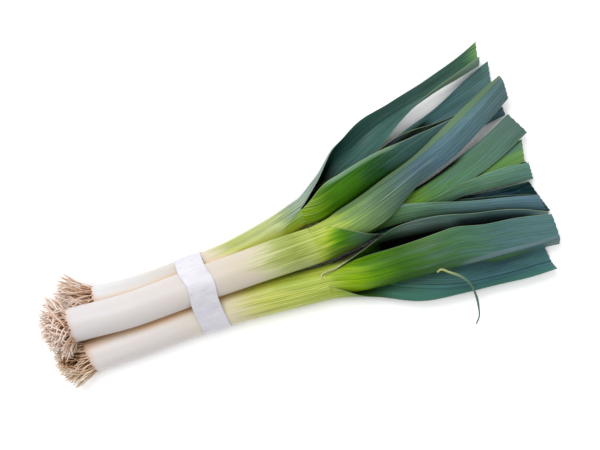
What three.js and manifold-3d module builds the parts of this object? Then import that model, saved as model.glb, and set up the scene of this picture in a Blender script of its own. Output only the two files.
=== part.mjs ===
// A bunch of three leeks held together by one band of white tape, lying flat with its leaves fanned out.
// Units are millimetres. +X runs from the roots to the leaf tips, +Y to the back leek, +Z up from the
// surface that the bunch lies on. Every leaf is one closed blade of its own. The leaves of a leek start
// nested in the mouth of its shaft, outermost first, and all of them end at a straight knife cut.
import * as THREE from 'three';
import { mergeVertices } from 'three/addons/utils/BufferGeometryUtils.js';
import Module from 'manifold-3d';

const wasm = await Module();
wasm.setup();

// Driving dimensions.
const GAP = 0.35;                 // clearance kept between neighbouring pieces
const MOUTH_X = 20;               // where the solid shafts end and the leaves part
const STEP_X = 35;                // distance between the stations that shape a leaf
const BLADE = { keel: 1.2, margin: 0.8 };   // thickness of a leaf at its keel and at its margins
const LAYER = 2;                  // spacing of the nested leaf sheaths
const LEAF_ROWS = 14;             // facets along a leaf
const LEAF_COLUMNS = 5;           // facets across each half of a leaf
const SHAFT_SIDES = 20;
const SHAFT_ROWS = 13;
const TAPE = { x: -86, width: 24, thickness: 0.5, slack: 0.42, skew: 3.6, facets: 60 };
const TAPE_BOW = { rise: 4, y: 2, reach: 13 };   // the band bows towards the leaves over the middle leek
const ROOTLET = { count: 46, radius: 0.8, sides: 3, rows: 3 };
const PLATE = { length: 5, taper: 0.7 };        // the hard plate that the rootlets grow from
const STRIP = { radius: 1.1, sides: 5, rows: 10 };

const deg = THREE.MathUtils.degToRad;

// The three shafts: their centre lines from root plate to mouth, the radius at each point, and how long
// their rootlets are.
const shafts = {
  middle: {
    line: [[-200, 6.8, 38.4], [-148, 1.8, 37.8], [-87, 1.8, 37.7], [-46, 1.1, 36.7], [-12, 0.8, 33.4],
      [20, 0.4, 29.5]],
    radius: [15.2, 15.2, 15.5, 15.7, 16.3, 16.8],
    rootLength: 27,
  },
  back: {
    line: [[-176, 20.8, 12.8], [-142, 16.4, 12.9], [-87, 15.5, 13.1], [-50, 16.6, 12.9], [-12, 22.4, 13.4],
      [20, 29.5, 15.5]],
    radius: [12.2, 12.2, 12.2, 12.2, 12.4, 13],
    rootLength: 32,
  },
  front: {
    line: [[-195, -23.7, 16.8], [-150, -24, 17.2], [-87, -23.7, 17.4], [-50, -26.5, 17.1], [-12, -30.3, 16.8],
      [20, -33.5, 16.6]],
    radius: [15.6, 16.4, 16.5, 16.5, 16.5, 16.5],
    rootLength: 30,
  },
};

const colours = {
  white: 0xf1ecdd, green: 0x6f9a3a, blue: 0x4f7468, dark: 0x2f5145, grey: 0x6a8082, lime: 0x86a83a,
  tape: 0xeeedf3, root: 0xcdb48c,
};

// Value between hand-set keys, by a Catmull-Rom curve; t counts keys, and the ends run on straight.
function between(keys, t) {
  const last = keys.length - 1;
  const i = Math.min(Math.max(Math.floor(t), 0), last - 1);
  const f = t - i;
  const p1 = keys[i];
  const p2 = keys[i + 1];
  const p0 = i > 0 ? keys[i - 1] : 2 * p1 - p2;
  const p3 = i + 2 <= last ? keys[i + 2] : 2 * p2 - p1;
  return p1 + 0.5 * f * (p2 - p0 + f * (2 * p0 - 5 * p1 + 4 * p2 - p3 + f * (3 * (p1 - p2) + p3 - p0)));
}

// Turns positions and triangles into a geometry.
function geometryFrom(points, triangles) {
  const geometry = new THREE.BufferGeometry();
  geometry.setAttribute('position', new THREE.Float32BufferAttribute(points.flat(), 3));
  geometry.setIndex(triangles.flat());
  return geometry;
}

function named(name, geometry, colour, roughness) {
  geometry.computeVertexNormals();
  const material = new THREE.MeshStandardMaterial({ color: colour, roughness, metalness: 0 });
  const mesh = new THREE.Mesh(geometry, material);
  mesh.name = name;
  return mesh;
}

// Closed body over a ring of points repeated along a path; both ends are closed by a fan.
function ringBody(rings) {
  const sides = rings[0].length;
  const points = rings.flat();
  const triangles = [];
  for (let r = 0; r + 1 < rings.length; r += 1) {
    for (let s = 0; s < sides; s += 1) {
      const a = r * sides + s;
      const b = r * sides + (s + 1) % sides;
      triangles.push([a, b, b + sides], [a, b + sides, a + sides]);
    }
  }
  for (const [ring, flip] of [[0, true], [rings.length - 1, false]]) {
    const centre = points.length;
    points.push([0, 1, 2].map((k) => rings[ring].reduce((sum, p) => sum + p[k], 0) / sides));
    for (let s = 0; s < sides; s += 1) {
      const a = ring * sides + s;
      const b = ring * sides + (s + 1) % sides;
      triangles.push(flip ? [centre, b, a] : [centre, a, b]);
    }
  }
  return geometryFrom(points, triangles);
}

// A shaft's centre line as a curve, and its radius at a fraction of that curve.
function shaftCurve(shaft) {
  return new THREE.CatmullRomCurve3(shaft.line.map((p) => new THREE.Vector3(...p)), false, 'centripetal');
}

// The solid shaft: rings square to X, rounded in at the root plate and flat at the mouth.
function shaftGeometry(shaft) {
  const curve = shaftCurve(shaft);
  const last = shaft.radius.length - 1;
  const rings = [];
  for (let r = 0; r <= SHAFT_ROWS; r += 1) {
    const t = (r / SHAFT_ROWS) ** 1.15;
    const centre = curve.getPoint(t);
    const rounding = r === 0 ? 0.86 : 1;
    const radius = between(shaft.radius, t * last) * rounding;
    const ring = [];
    for (let s = 0; s < SHAFT_SIDES; s += 1) {
      const angle = deg((s + 0.5) * 360 / SHAFT_SIDES);
      ring.push([centre.x, centre.y + radius * Math.cos(angle), centre.z + radius * Math.sin(angle)]);
    }
    rings.push(ring);
  }
  return ringBody(rings);
}

// Point on one half of a leaf's section, in the plane across X. The half leaves the keel at angle `start`
// and reaches its margin at angle `end`, both measured up from its own side, so it is an arc of a circle.
function alongHalf(width, start, end, share) {
  const turn = deg(end - start);
  const first = deg(start);
  const angle = first + turn * share;
  if (Math.abs(turn) < 1e-3) {
    return { out: width * share * Math.cos(first), up: width * share * Math.sin(first), angle };
  }
  const radius = width / turn;
  return {
    out: radius * (Math.sin(angle) - Math.sin(first)),
    up: radius * (Math.cos(first) - Math.cos(angle)),
    angle,
  };
}

// The state of a leaf at station x: keel point and both halves.
function station(leaf, x) {
  const t = (x - MOUTH_X) / STEP_X + 1;
  const state = {};
  for (const [key, values] of Object.entries(leaf.keys)) {
    state[key] = between(values, t);
  }
  return state;
}

// Point of the leaf's middle surface, with the direction that faces into its channel.
// share runs from -1 at the right margin (-Y side) over 0 at the keel to 1 at the left margin.
function leafPoint(leaf, x, share) {
  const s = station(leaf, x);
  const left = alongHalf(s.leftWidth, s.leftStart, s.leftEnd, Math.max(share, 0));
  const right = alongHalf(s.rightWidth, s.rightStart, s.rightEnd, Math.max(-share, 0));
  const inLeft = new THREE.Vector3(0, -Math.sin(left.angle), Math.cos(left.angle));
  const inRight = new THREE.Vector3(0, Math.sin(right.angle), Math.cos(right.angle));
  const inward = share > 0 ? inLeft : inRight;
  if (share === 0) {
    inward.add(inLeft).normalize();
  }
  return { point: new THREE.Vector3(x, s.y + left.out - right.out, s.z + left.up + right.up), inward };
}

// Where the knife cut ends a leaf: cut holds the X of the keel's end and the slope of the cut over Y.
function cutX(leaf, share) {
  const [x, slant] = leaf.cut;
  return x + slant * (leafPoint(leaf, x, share).point.y - leafPoint(leaf, x, 0).point.y);
}

// A leaf's closed blade: an inner and an outer skin on the same grid, joined round the rim.
function leafGeometry(leaf) {
  const columns = 2 * LEAF_COLUMNS;
  const across = columns + 1;
  const skins = [[], []];
  for (let row = 0; row <= LEAF_ROWS; row += 1) {
    for (let column = 0; column <= columns; column += 1) {
      const share = column / LEAF_COLUMNS - 1;
      const x = MOUTH_X + GAP + (cutX(leaf, share) - MOUTH_X - GAP) * (row / LEAF_ROWS) ** 1.2;
      const { point, inward } = leafPoint(leaf, x, share);
      const half = 0.5 * THREE.MathUtils.lerp(BLADE.keel, BLADE.margin, Math.abs(share));
      skins[0].push(point.clone().addScaledVector(inward, half).toArray());
      skins[1].push(point.clone().addScaledVector(inward, -half).toArray());
    }
  }
  const outer = skins[0].length;
  const triangles = [];
  for (let row = 0; row < LEAF_ROWS; row += 1) {
    for (let column = 0; column < columns; column += 1) {
      const a = row * across + column;
      const quad = [a, a + 1, a + across + 1, a + across];
      triangles.push([quad[0], quad[2], quad[1]], [quad[0], quad[3], quad[2]]);
      const [p, q, r, s] = quad.map((v) => v + outer);
      triangles.push([p, q, r], [p, r, s]);
    }
  }
  const rim = [];
  for (let column = 0; column < columns; column += 1) {
    rim.push(column);
  }
  for (let row = 0; row < LEAF_ROWS; row += 1) {
    rim.push(row * across + columns);
  }
  for (let column = columns; column > 0; column -= 1) {
    rim.push(LEAF_ROWS * across + column);
  }
  for (let row = LEAF_ROWS; row > 0; row -= 1) {
    rim.push(row * across);
  }
  rim.forEach((a, i) => {
    const b = rim[(i + 1) % rim.length];
    triangles.push([a, b, b + outer], [a, b + outer, a + outer]);
  });
  return geometryFrom([...skins[0], ...skins[1]], triangles);
}

// The first two stations of a leaf, one step inside the shaft and at its mouth: a nested sheath round the
// shaft's centre, with its keel at `keelAngle` (0 is below, 90 towards +Y, 180 above), wrapping `leftWrap`
// and `rightWrap` degrees to each side. The inside one only gives the leaf its direction at the mouth.
function sheath(shaft, layer, keelAngle, leftWrap, rightWrap) {
  const inside = sectionAt(shaft, MOUTH_X - STEP_X);
  const [, y, z] = shaft.line.at(-1);
  const radius = shaft.radius.at(-1) - 0.6 - layer * LAYER;
  const aside = radius * Math.sin(deg(keelAngle));
  const below = radius * Math.cos(deg(keelAngle));
  const both = (value) => [value, value];
  return {
    y: [inside.y + aside, y + aside],
    z: [inside.z - below, z - below],
    leftWidth: both(radius * deg(leftWrap)),
    leftStart: both(keelAngle),
    leftEnd: both(keelAngle + leftWrap),
    rightWidth: both(radius * deg(rightWrap)),
    rightStart: both(-keelAngle),
    rightEnd: both(rightWrap - keelAngle),
  };
}

// A leaf from its sheath and its later stations, one value of each per STEP_X.
function leaf(name, colour, cut, base, keys) {
  const all = {};
  for (const key of Object.keys(base)) {
    all[key] = [...base[key], ...keys[key]];
  }
  return { name, colour, cut, keys: all };
}

const leaves = [
  // Back leek: an open channel, a flat inner leaf, and a folded leaf over it.
  leaf('back_leaf_outer', colours.blue, [210, 0.2], sheath(shafts.back, 0, 30, 130, 72), {
    y: [56, 73.5, 84.5, 90.5, 96, 104],
    z: [5, 6, 8, 8, 9, 10],
    leftWidth: [24, 22, 20, 19, 19, 22],
    leftStart: [15, 40, 50, 40, 15, 0],
    leftEnd: [120, 70, 72, 70, 50, 30],
    rightWidth: [16, 20, 18, 18, 18, 13],
    rightStart: [-5, 0, 40, 60, 70, 80],
    rightEnd: [20, 8, 65, 115, 140, 150],
  }),
  leaf('back_leaf_inner', colours.grey, [216, 0.2], sheath(shafts.back, 1, 60, 55, 55), {
    y: [45, 48, 56.5, 66.5, 75, 87],
    z: [10, 9.8, 7, 4.5, 3.5, 3.5],
    leftWidth: [6, 6.5, 9.5, 10, 16, 17],
    leftStart: [20, 10, 10, 10, 5, 5],
    leftEnd: [50, 20, 20, 25, 12, 10],
    rightWidth: [9, 9, 14, 15, 16, 16],
    rightStart: [-10, 5, 5, 5, 5, 5],
    rightEnd: [10, 10, 15, 12, 10, 10],
  }),
  leaf('back_leaf_folded', colours.green, [217.5, -0.1], sheath(shafts.back, 0, -75, 29, 121), {
    y: [19, 27.5, 35, 43, 47.5, 51],
    z: [15, 14, 12, 9.5, 8, 7],
    leftWidth: [18, 28, 30, 21, 19, 18],
    leftStart: [-20, -10, 0, 0, 0, 0],
    leftEnd: [20, 30, 15, 8, 5, 5],
    rightWidth: [37, 36, 28, 21, 19, 18],
    rightStart: [106, 118, 130, 140, 145, 148],
    rightEnd: [188, 172, 170, 165, 165, 165],
  }),
  // Middle leek, from the outermost leaf to the heart.
  leaf('middle_leaf_outer', colours.blue, [222, -0.3], sheath(shafts.middle, 0, -90, 150, 155), {
    y: [-14.5, -9.3, -16, -22, -26, -30],
    z: [24, 8, 4.5, 3, 3, 3],
    leftWidth: [30, 28, 20, 17, 17, 17],
    leftStart: [-80, -20, -5, 0, 5, 5],
    leftEnd: [30, 25, 10, 20, 25, 25],
    rightWidth: [25.5, 8, 10, 12, 13, 14],
    rightStart: [92, 70, 15, 12, 12, 12],
    rightEnd: [168, 60, 15, 12, 12, 12],
  }),
  leaf('middle_leaf_top', colours.grey, [223, 0], sheath(shafts.middle, 1, 125, 150, 70), {
    y: [15, 24, 34.5, 45.5, 62, 81.5],
    z: [38, 38, 36, 33.5, 30.5, 27],
    leftWidth: [28, 27, 19, 18, 18, 18],
    leftStart: [165, 190, 195, 200, 205, 205],
    leftEnd: [245, 225, 230, 222, 220, 218],
    rightWidth: [14, 15, 15, 15, 15, 15],
    rightStart: [-125, -125, -125, -145, -140, -115],
    rightEnd: [-115, -118, -118, -140, -135, -108],
  }),
  leaf('middle_leaf_long', colours.grey, [222, -0.18], sheath(shafts.middle, 2, -70, 80, 150), {
    y: [-8.3, -7, -12, -21.5, -31, -43],
    z: [20, 14, 12.5, 10.5, 10, 9.5],
    leftWidth: [12, 14, 15, 14, 14, 14],
    leftStart: [-60, -40, -40, -25, -20, -20],
    leftEnd: [0, 5, 5, 15, 15, 10],
    rightWidth: [20, 20, 17, 15, 15, 16],
    rightStart: [85, 130, 120, 120, 125, 135],
    rightEnd: [175, 165, 165, 160, 160, 165],
  }),
  leaf('middle_leaf_low', colours.green, [221, 0], sheath(shafts.middle, 3, -100, 60, 130), {
    y: [-6, -3.2, -6, -4.5, -8, -12],
    z: [21, 16, 14, 12.5, 9.5, 8],
    leftWidth: [8, 9, 12, 12, 16, 16],
    leftStart: [-60, -45, -45, -45, -20, -15],
    leftEnd: [0, -10, 0, -10, -5, 0],
    rightWidth: [12, 12, 10, 13, 18, 16.5],
    rightStart: [90, 135, 135, 135, 130, 135],
    rightEnd: [170, 165, 160, 160, 165, 165],
  }),
  leaf('middle_leaf_wide', colours.green, [219, -0.4], sheath(shafts.middle, 4, 90, 110, 80), {
    y: [9, 13, 17, 26.5, 38.5, 55],
    z: [24, 16, 15, 14, 13, 12],
    leftWidth: [10, 10, 15, 22, 24.5, 26],
    leftStart: [140, 155, 160, 165, 165, 165],
    leftEnd: [180, 185, 185, 180, 180, 180],
    rightWidth: [8, 8, 11, 18, 20.5, 22],
    rightStart: [-60, -45, -35, -30, -30, -30],
    rightEnd: [0, -5, -10, -5, -5, -5],
  }),
  leaf('middle_leaf_heart', colours.lime, [223, 0.25], sheath(shafts.middle, 5, 90, 40, 40), {
    y: [5, 8, 10, 16, 21, 25],
    z: [23, 15.5, 14.4, 12.5, 11.5, 10.5],
    leftWidth: [4, 4, 6, 12, 17, 19],
    leftStart: [165, 170, 170, 165, 165, 165],
    leftEnd: [185, 180, 185, 178, 178, 178],
    rightWidth: [4, 4, 5, 10, 14, 16],
    rightStart: [-20, -20, -20, -15, -15, -15],
    rightEnd: [0, 0, -5, 0, 0, 0],
  }),
  // Front leek: the low outer leaf, the leaf that cups the ridged one, and the large ridged leaf.
  leaf('front_leaf_low', colours.blue, [212, -0.1], sheath(shafts.front, 0, -10, 40, 150), {
    y: [-46, -62, -75, -81, -84, -86],
    z: [2, 2.5, 2.5, 2.5, 2.5, 2.5],
    leftWidth: [12, 15, 20, 19, 19, 18],
    leftStart: [0, 0, 0, 3, 5, 5],
    leftEnd: [10, 12, 12, 15, 20, 20],
    rightWidth: [24, 22, 19, 18, 18, 18],
    rightStart: [5, 20, 45, 60, 60, 62],
    rightEnd: [90, 65, 80, 76, 74, 76],
  }),
  leaf('front_leaf_cup', colours.dark, [223, 0], sheath(shafts.front, 1, 40, 115, 60), {
    y: [-26, -30, -37, -43, -50, -59],
    z: [6, 5, 4, 4, 3.5, 3.5],
    leftWidth: [27, 31, 33, 28, 23.5, 16],
    leftStart: [25, 32, 25, 25, 22, 22],
    leftEnd: [125, 64, 55, 50, 46, 44],
    rightWidth: [12, 12, 13, 13, 10, 7],
    rightStart: [-10, 0, 0, 0, 0, 0],
    rightEnd: [10, 5, 8, 8, 5, 5],
  }),
  leaf('front_leaf_ridged', colours.green, [223, 0.07], sheath(shafts.front, 1, -100, 72, 97), {
    y: [-53, -57, -60.5, -62.5, -65.5, -67.5],
    z: [15, 13, 14, 26, 26, 25],
    leftWidth: [14, 14, 13, 14, 15, 15],
    leftStart: [-60, -40, -45, -115, -115, -120],
    leftEnd: [0, 0, -10, -100, -100, -108],
    rightWidth: [40, 40, 41, 31, 28, 22],
    rightStart: [90, 100, 110, 170, 178, 185],
    rightEnd: [235, 220, 210, 205, 205, 215],
  }),
];

// Closed geometry as a manifold solid, and back.
function solidOf(geometry) {
  const bare = geometry.clone();
  bare.deleteAttribute('normal');
  bare.deleteAttribute('uv');
  const merged = mergeVertices(bare, 1e-4);
  const vertProperties = Float32Array.from(merged.attributes.position.array);
  const triVerts = Uint32Array.from(merged.index.array);
  return new wasm.Manifold(new wasm.Mesh({ numProp: 3, vertProperties, triVerts }));
}

function geometryOf(solid) {
  const mesh = solid.getMesh();
  const geometry = new THREE.BufferGeometry();
  geometry.setAttribute('position', new THREE.BufferAttribute(Float32Array.from(mesh.vertProperties), 3));
  geometry.setIndex(Array.from(mesh.triVerts));
  return geometry;
}

// A thin body that follows `path`, with its radius falling from 1 to `tip` of `radius`.
function strand(path, radius, tip, sides) {
  const rings = path.map((point, i) => {
    const before = path[Math.max(i - 1, 0)];
    const after = path[Math.min(i + 1, path.length - 1)];
    const along = after.clone().sub(before).normalize();
    const side = Math.abs(along.x) > 0.6 ? new THREE.Vector3(0, 1, 0) : new THREE.Vector3(1, 0, 0);
    const u = side.cross(along).normalize();
    const v = along.clone().cross(u);
    const r = radius * THREE.MathUtils.lerp(1, tip, i / (path.length - 1));
    return Array.from({ length: sides }, (_, s) => {
      const angle = 2 * Math.PI * s / sides;
      const offset = u.clone().multiplyScalar(r * Math.cos(angle)).addScaledVector(v, r * Math.sin(angle));
      return point.clone().add(offset).toArray();
    });
  });
  return ringBody(rings);
}

// Repeatable random numbers from 0 to 1.
function randomFrom(seed) {
  let state = seed;
  return () => {
    state = (state * 1664525 + 1013904223) % 4294967296;
    return state / 4294967296;
  };
}

// Moves a point of one leek's tuft back to its own side of the planes that part it from the other leeks,
// and above the surface. Each plane holds the points equally far outside both shafts.
function keptClear(point, own, clearance) {
  const [, y, z] = own.line[0];
  const radius = own.radius[0];
  for (const other of Object.values(shafts)) {
    if (other !== own) {
      const toOther = new THREE.Vector2(other.line[0][1] - y, other.line[0][2] - z);
      const distance = toOther.length();
      const direction = toOther.clone().normalize();
      const share = (distance * distance + radius * radius - other.radius[0] ** 2) / (2 * distance);
      const reach = (point.y - y) * direction.x + (point.z - z) * direction.y;
      const excess = reach - (share - clearance);
      if (excess > 0) {
        point.y -= excess * direction.x;
        point.z -= excess * direction.y;
      }
    }
  }
  point.z = Math.max(point.z, clearance);
  return point;
}

// The root plate and its beard: rootlets spread evenly over the plate, leaning out like a brush.
function rootGeometry(shaft, seed) {
  const random = randomFrom(seed);
  const [x, y, z] = shaft.line[0];
  const radius = shaft.radius[0];
  const plate = [0, 0.35, 1].map((share) => Array.from({ length: 14 }, (_, s) => {
    const angle = 2 * Math.PI * s / 14;
    const r = radius * THREE.MathUtils.lerp(0.84, PLATE.taper * 0.84, share ** 2);
    return [x - GAP - share * PLATE.length, y + r * Math.cos(angle), z - r * Math.sin(angle)];
  }));
  let solid = solidOf(ringBody(plate));
  for (let i = 0; i < ROOTLET.count; i += 1) {
    const spread = Math.sqrt((i + 0.5) / ROOTLET.count);
    const angle = i * 2.39996 + 0.5 * random();
    const lean = 0.12 + 0.85 * spread * spread + 0.3 * (random() - 0.5);
    const bend = 1.1 * (random() - 0.5);
    const length = shaft.rootLength * (0.75 + 0.3 * random()) * (1 - 0.2 * spread);
    const path = [];
    for (let row = 0; row <= ROOTLET.rows; row += 1) {
      const along = row / ROOTLET.rows;
      const turned = angle + bend * along * along;
      const out = radius * 0.68 * spread + length * Math.sin(lean) * along * (0.7 + 0.3 * along);
      const back = PLATE.length * (1 - 0.55 * spread * spread) - 1.6 + length * Math.cos(lean) * along;
      const point = new THREE.Vector3(
        x - GAP - back,
        y + out * Math.cos(turned),
        z + out * Math.sin(turned) - 5 * along * along,
      );
      path.push(row === 0 ? point : keptClear(point, shaft, ROOTLET.radius + 0.3));
    }
    solid = solid.add(solidOf(strand(path, ROOTLET.radius, 0.5, ROOTLET.sides)));
  }
  return geometryOf(solid);
}

// A shaft's section where its centre line passes x, found by halving the curve's span.
function sectionAt(shaft, x) {
  const curve = shaftCurve(shaft);
  let low = 0;
  let high = 1;
  for (let step = 0; step < 24; step += 1) {
    const middle = 0.5 * (low + high);
    if (curve.getPoint(middle).x < x) {
      low = middle;
    } else {
      high = middle;
    }
  }
  const { y, z } = curve.getPoint(low);
  return { y, z, radius: between(shaft.radius, low * (shaft.radius.length - 1)) };
}

// Ring round all three shafts at X = x, `offset` outside them. For each direction the shaft that reaches
// furthest carries the tape, and the tape runs straight between shafts. It is flat where it lies down.
function hullRing(x, offset, floor) {
  const circles = Object.values(shafts).map((shaft) => sectionAt(shaft, x));
  return Array.from({ length: TAPE.facets }, (_, s) => {
    const angle = 2 * Math.PI * (s + 0.5) / TAPE.facets;
    const reach = (c) => c.y * Math.cos(angle) + c.z * Math.sin(angle) + c.radius;
    const carrier = circles.reduce((best, c) => (reach(c) > reach(best) ? c : best));
    const r = carrier.radius + offset;
    const y = carrier.y + r * Math.cos(angle);
    const bow = TAPE_BOW.rise * Math.exp(-(((y - TAPE_BOW.y) / TAPE_BOW.reach) ** 2));
    return [x - y * Math.tan(deg(TAPE.skew)) + bow, y, Math.max(carrier.z + r * Math.sin(angle), floor)];
  });
}

// The tape: a thin closed band, so its section is carried round the hull and meets itself.
function tapeGeometry() {
  const front = TAPE.x - TAPE.width / 2;
  const back = TAPE.x + TAPE.width / 2;
  const rings = [
    hullRing(front, TAPE.slack, TAPE.thickness),
    hullRing(back, TAPE.slack, TAPE.thickness),
    hullRing(back, TAPE.slack + TAPE.thickness, 0),
    hullRing(front, TAPE.slack + TAPE.thickness, 0),
  ];
  const triangles = [];
  for (let r = 0; r < rings.length; r += 1) {
    const next = (r + 1) % rings.length;
    for (let s = 0; s < TAPE.facets; s += 1) {
      const a = r * TAPE.facets + s;
      const b = r * TAPE.facets + (s + 1) % TAPE.facets;
      const c = next * TAPE.facets + (s + 1) % TAPE.facets;
      const d = next * TAPE.facets + s;
      triangles.push([a, c, b], [a, d, c]);
    }
  }
  return geometryFrom(rings.flat(), triangles);
}

// A strip torn from the ridged leaf: it stays fast to the blade and hangs over the low leaf to the surface.
function withTornStrip(leaf, geometry) {
  const root = leafPoint(leaf, 112, -0.35).point;
  const route = [[116, -57.5, 28], [122, -62, 27], [131, -69.5, 26.5], [136, -79, 25.5], [137.5, -90, 20],
    [137, -100, 12], [135, -109, 5], [130.5, -115, 1.6]];
  const curve = new THREE.CatmullRomCurve3([root, ...route.map((p) => new THREE.Vector3(...p))]);
  const strip = strand(curve.getPoints(STRIP.rows), STRIP.radius, 0.6, STRIP.sides);
  return geometryOf(solidOf(geometry).add(solidOf(strip)));
}

const group = new THREE.Group();
let seed = 11;
for (const [name, shaft] of Object.entries(shafts)) {
  group.add(named(`${name}_roots`, rootGeometry(shaft, seed), colours.root, 0.9));
  group.add(named(`${name}_shaft`, shaftGeometry(shaft), colours.white, 0.45));
  seed += 1;
}
for (const blade of leaves) {
  const plain = leafGeometry(blade);
  const geometry = blade.name === 'front_leaf_ridged' ? withTornStrip(blade, plain) : plain;
  group.add(named(blade.name, geometry, blade.colour, 0.5));
}
group.add(named('tape', tapeGeometry(), colours.tape, 0.4));

export default group;
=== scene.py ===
"""Looks of a bunch of three leeks that a band of white tape holds together, lying flat on a pale table.

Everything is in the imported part's own frame: +X from the roots to the leaf tips, +Y towards the back
leek and +Z up from the table. Lengths in the tables are millimetres, and the meshes are in metres.
"""
import math

import bpy
import numpy as np
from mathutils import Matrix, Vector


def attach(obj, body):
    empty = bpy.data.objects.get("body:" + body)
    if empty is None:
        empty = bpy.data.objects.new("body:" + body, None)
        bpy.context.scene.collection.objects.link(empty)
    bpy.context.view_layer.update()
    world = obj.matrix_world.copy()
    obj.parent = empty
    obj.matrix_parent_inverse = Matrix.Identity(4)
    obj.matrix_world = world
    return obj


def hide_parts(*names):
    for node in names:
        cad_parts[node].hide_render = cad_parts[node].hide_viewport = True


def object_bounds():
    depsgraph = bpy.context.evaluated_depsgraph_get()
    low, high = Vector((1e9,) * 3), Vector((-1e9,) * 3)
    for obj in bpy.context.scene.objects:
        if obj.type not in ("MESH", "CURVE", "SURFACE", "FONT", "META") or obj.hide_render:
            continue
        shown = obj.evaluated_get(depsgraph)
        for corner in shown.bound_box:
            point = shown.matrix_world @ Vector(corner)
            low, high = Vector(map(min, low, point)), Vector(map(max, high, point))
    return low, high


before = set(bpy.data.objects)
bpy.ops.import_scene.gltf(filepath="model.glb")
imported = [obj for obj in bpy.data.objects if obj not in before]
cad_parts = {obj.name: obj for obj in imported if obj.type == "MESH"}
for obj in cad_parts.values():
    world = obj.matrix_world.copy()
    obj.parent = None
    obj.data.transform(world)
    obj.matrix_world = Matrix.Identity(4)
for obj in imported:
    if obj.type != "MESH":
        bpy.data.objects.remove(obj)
cad_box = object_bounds()

# --------------------------------------
# The three shafts. A leek's shaft is a tight roll of leaf sheaths, smooth and waxy: white where it
# grew in the ground and yellow-green above. The outermost sheath splits open at the mouth into the
# first leaf, so the shaft's skin steps down there to the next leaf along the split.
# --------------------------------------
MM = 0.001
MOUTH = 20.0     # where the shafts end and the leaves begin
# "split" holds, along X, the two angles round the shaft between which the next layer shows (0 is below,
# 90 is the +Y side), and "depth" how far the skin steps down there. "roots" is the rootlets' length, and
# "slant" how far the root end's +Y and -Y sides were cut past the line's end.
SHAFTS = {
    "middle": {
        "line": [(-200, 6.8, 38.4), (-148, 1.8, 37.8), (-87, 1.8, 37.7), (-46, 1.1, 36.7),
                 (-12, 0.8, 33.4), (20, 0.4, 29.5)],
        "radius": [15.2, 15.2, 15.5, 15.7, 16.3, 16.8],
        "split": [(-12, 75, 95), (20, 60, 115)], "depth": 2.0, "roots": 27, "slant": (-1.5, -3.4),
    },
    "back": {
        "line": [(-176, 20.8, 12.8), (-142, 16.4, 12.9), (-87, 15.5, 13.1), (-50, 16.6, 12.9),
                 (-12, 22.4, 13.4), (20, 29.5, 15.5)],
        "radius": [12.2, 12.2, 12.2, 12.2, 12.4, 13],
        "split": [(-5, 208, 235), (5, 186, 285), (20, 160, 318)], "depth": 0.6, "roots": 37,
        "slant": (0, -3.5),
    },
    "front": {
        "line": [(-195, -23.7, 16.8), (-150, -24, 17.2), (-87, -23.7, 17.4), (-50, -26.5, 17.1),
                 (-12, -30.3, 16.8), (20, -33.5, 16.6)],
        "radius": [15.6, 16.4, 16.5, 16.5, 16.5, 16.5],
        "split": [(-30, 60, 170), (20, 30, 200)], "depth": 2.0, "roots": 31, "slant": (-5.5, -1),
    },
}


class Wire:
    """A socket in a material's tree. Arithmetic on it adds Math nodes, and `node` adds any other."""

    def __init__(self, tree, socket=None):
        self.tree, self.socket = tree, socket

    def node(self, kind, settings=None, sockets=None, out=0):
        made = self.tree.nodes.new("ShaderNode" + kind)
        for key, value in (settings or {}).items():
            if key == "stops":
                places = [place for place, _ in value]
                ramp = made.color_ramp.elements
                ramp[0].position, ramp[1].position = places[0], places[-1]
                for place in places[1:-1]:
                    ramp.new(place)
                for element, (_, colour) in zip(ramp, value):
                    element.color = (*colour, 1)
            else:
                setattr(made, key, value)
        for key, value in (sockets or {}).items():
            if isinstance(value, Wire):
                self.tree.links.new(value.socket, made.inputs[key])
            else:
                made.inputs[key].default_value = value
        return Wire(self.tree, made.outputs[out])

    def maths(self, operation, *values):
        return self.node("Math", {"operation": operation}, dict(enumerate(values)))

    def __add__(self, other):
        return self.maths("ADD", self, other)

    def __radd__(self, other):
        return self.maths("ADD", other, self)

    def __sub__(self, other):
        return self.maths("SUBTRACT", self, other)

    def __rsub__(self, other):
        return self.maths("SUBTRACT", other, self)

    def __mul__(self, other):
        return self.maths("MULTIPLY", self, other)

    def __rmul__(self, other):
        return self.maths("MULTIPLY", other, self)

    def __abs__(self):
        return self.maths("ABSOLUTE", self)

    def ramp(self, low, high):
        """0 below `low`, 1 above `high` and smooth between; the other way round if low > high."""
        ends = {"From Min": min(low, high), "From Max": max(low, high)}
        to = {"To Min": float(low > high), "To Max": float(low <= high)}
        return self.node("MapRange", {"interpolation_type": "SMOOTHSTEP"}, {"Value": self, **ends, **to})

    def mix(self, share, other):
        """This colour turning into `other` as share goes from 0 to 1."""
        other = other if isinstance(other, Wire) else (*other, 1)
        return self.node("Mix", {"data_type": "RGBA"}, {0: share, 6: self, 7: other}, out=2)

    def scaled(self, factor):
        """This colour times a number."""
        return self.node("VectorMath", {"operation": "SCALE"}, {0: self, "Scale": factor})

    def colours(self, stops, low=0.0, high=1.0):
        """The colour at this value, from stops of a value between low and high and a colour."""
        stops = [((at - low) / (high - low), tint(*colour)) for at, colour in stops]
        return self.node("ValToRGB", {"stops": stops}, {0: (self - low) * (1 / (high - low))})


def tint(red, green, blue):
    """The share of light a surface returns that looks like this colour, 0 to 255 on a screen, when it faces
    up under the lamps: linear light, less what its gloss adds, over the light that falls there."""
    gloss, light = 0.008, 1.22
    linear = (((c / 255 + 0.055) / 1.055) ** 2.4 if c > 10 else c / 255 / 12.92 for c in (red, green, blue))
    return tuple(max(c - gloss, 0.0015) / light for c in linear)


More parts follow.
